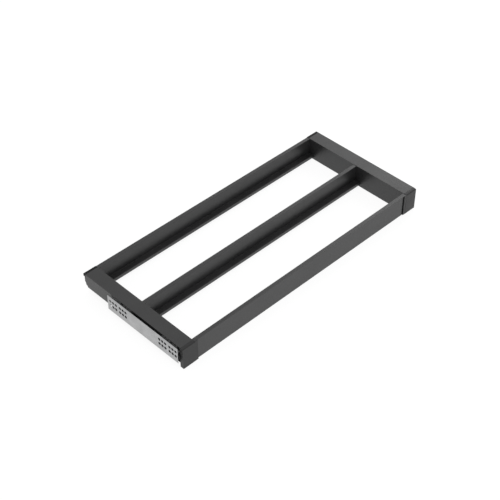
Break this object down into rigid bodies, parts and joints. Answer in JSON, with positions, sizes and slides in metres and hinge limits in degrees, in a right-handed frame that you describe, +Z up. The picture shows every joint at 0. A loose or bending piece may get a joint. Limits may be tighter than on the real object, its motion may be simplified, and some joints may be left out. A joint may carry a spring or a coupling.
{
  "type": "pull-out tray frame",
  "caption": "Low rectangular pull-out frame for a wardrobe: charcoal profiles, ledged cross rails that carry drop-in trays, full-extension ball slides and zinc side brackets.",
  "frame": {"origin": "on the floor under the middle of the closed frame", "axes": "+X along the rails to the right side, -Y towards the front that is pulled out, +Z up"},
  "size_m": [0.968, 0.413, 0.073],
  "materials": {
    "charcoal_coat": "fine satin powder coat",
    "charcoal_plastic": "fine moulded grain",
    "black_nylon": "moulded, glass filled",
    "bright_steel": "bright drawn",
    "zinc_sheet": "blue-white zinc plate",
    "black_rubber": "matt"
  },
  "bodies": {
    "cabinet_side": {"left_mounting_bracket": "zinc_sheet", "left_cabinet_rail": "zinc_sheet", "left_closing_bumper": "black_rubber", "left_front_rail_rivet": "zinc_sheet", "left_rear_rail_rivet": "zinc_sheet", "right_mounting_bracket": "zinc_sheet", "right_cabinet_rail": "zinc_sheet", "right_closing_bumper": "black_rubber", "right_front_rail_rivet": "zinc_sheet", "right_rear_rail_rivet": "zinc_sheet"},
    "sliding_frame": {"front_rail": "charcoal_coat", "middle_rail": "charcoal_coat", "rear_rail": "charcoal_coat", "left_side_profile": "charcoal_coat", "left_front_cap": "charcoal_plastic", "left_rear_cap": "charcoal_plastic", "left_drawer_member": "bright_steel", "left_front_connector": "black_nylon", "left_middle_connector": "black_nylon", "left_rear_connector": "black_nylon", "left_front_lower_screw": "bright_steel", "left_front_upper_screw": "bright_steel", "left_middle_lower_screw": "bright_steel", "left_middle_upper_screw": "bright_steel", "left_rear_lower_screw": "bright_steel", "left_rear_upper_screw": "bright_steel", "left_front_member_screw": "bright_steel", "left_rear_member_screw": "bright_steel", "right_side_profile": "charcoal_coat", "right_front_cap": "charcoal_plastic", "right_rear_cap": "charcoal_plastic", "right_drawer_member": "bright_steel", "right_front_connector": "black_nylon", "right_middle_connector": "black_nylon", "right_rear_connector": "black_nylon", "right_front_lower_screw": "bright_steel", "right_front_upper_screw": "bright_steel", "right_middle_lower_screw": "bright_steel", "right_middle_upper_screw": "bright_steel", "right_rear_lower_screw": "bright_steel", "right_rear_upper_screw": "bright_steel", "right_front_member_screw": "bright_steel", "right_rear_member_screw": "bright_steel"},
    "left_middle_slide": {"left_middle_member": "zinc_sheet"},
    "left_outer_cage_slide": {"left_outer_ball_cage": "bright_steel"},
    "left_inner_cage_slide": {"left_inner_ball_cage": "bright_steel"},
    "right_middle_slide": {"right_middle_member": "zinc_sheet"},
    "right_outer_cage_slide": {"right_outer_ball_cage": "bright_steel"},
    "right_inner_cage_slide": {"right_inner_ball_cage": "bright_steel"}
  },
  "joints": [
    {"name": "frame_slide", "type": "slide", "parent": "cabinet_side", "child": "sliding_frame", "axis": [0, -1, 0], "range_m": [0, 0.38]},
    {"name": "left_middle_member_slide", "type": "slide", "parent": "cabinet_side", "child": "left_middle_slide", "axis": [0, -1, 0], "range_m": [0, 0.19]},
    {"name": "left_outer_cage_slide", "type": "slide", "parent": "cabinet_side", "child": "left_outer_cage_slide", "axis": [0, -1, 0], "range_m": [0, 0.095]},
    {"name": "left_inner_cage_slide", "type": "slide", "parent": "cabinet_side", "child": "left_inner_cage_slide", "axis": [0, -1, 0], "range_m": [0, 0.285]},
    {"name": "right_middle_member_slide", "type": "slide", "parent": "cabinet_side", "child": "right_middle_slide", "axis": [0, -1, 0], "range_m": [0, 0.19]},
    {"name": "right_outer_cage_slide", "type": "slide", "parent": "cabinet_side", "child": "right_outer_cage_slide", "axis": [0, -1, 0], "range_m": [0, 0.095]},
    {"name": "right_inner_cage_slide", "type": "slide", "parent": "cabinet_side", "child": "right_inner_cage_slide", "axis": [0, -1, 0], "range_m": [0, 0.285]}
  ],
  "couplings": [
    {"joint": "left_middle_member_slide", "follows": "frame_slide", "ratio": 0.5},
    {"joint": "left_outer_cage_slide", "follows": "frame_slide", "ratio": 0.25},
    {"joint": "left_inner_cage_slide", "follows": "frame_slide", "ratio": 0.75},
    {"joint": "right_middle_member_slide", "follows": "frame_slide", "ratio": 0.5},
    {"joint": "right_outer_cage_slide", "follows": "frame_slide", "ratio": 0.25},
    {"joint": "right_inner_cage_slide", "follows": "frame_slide", "ratio": 0.75}
  ]
}
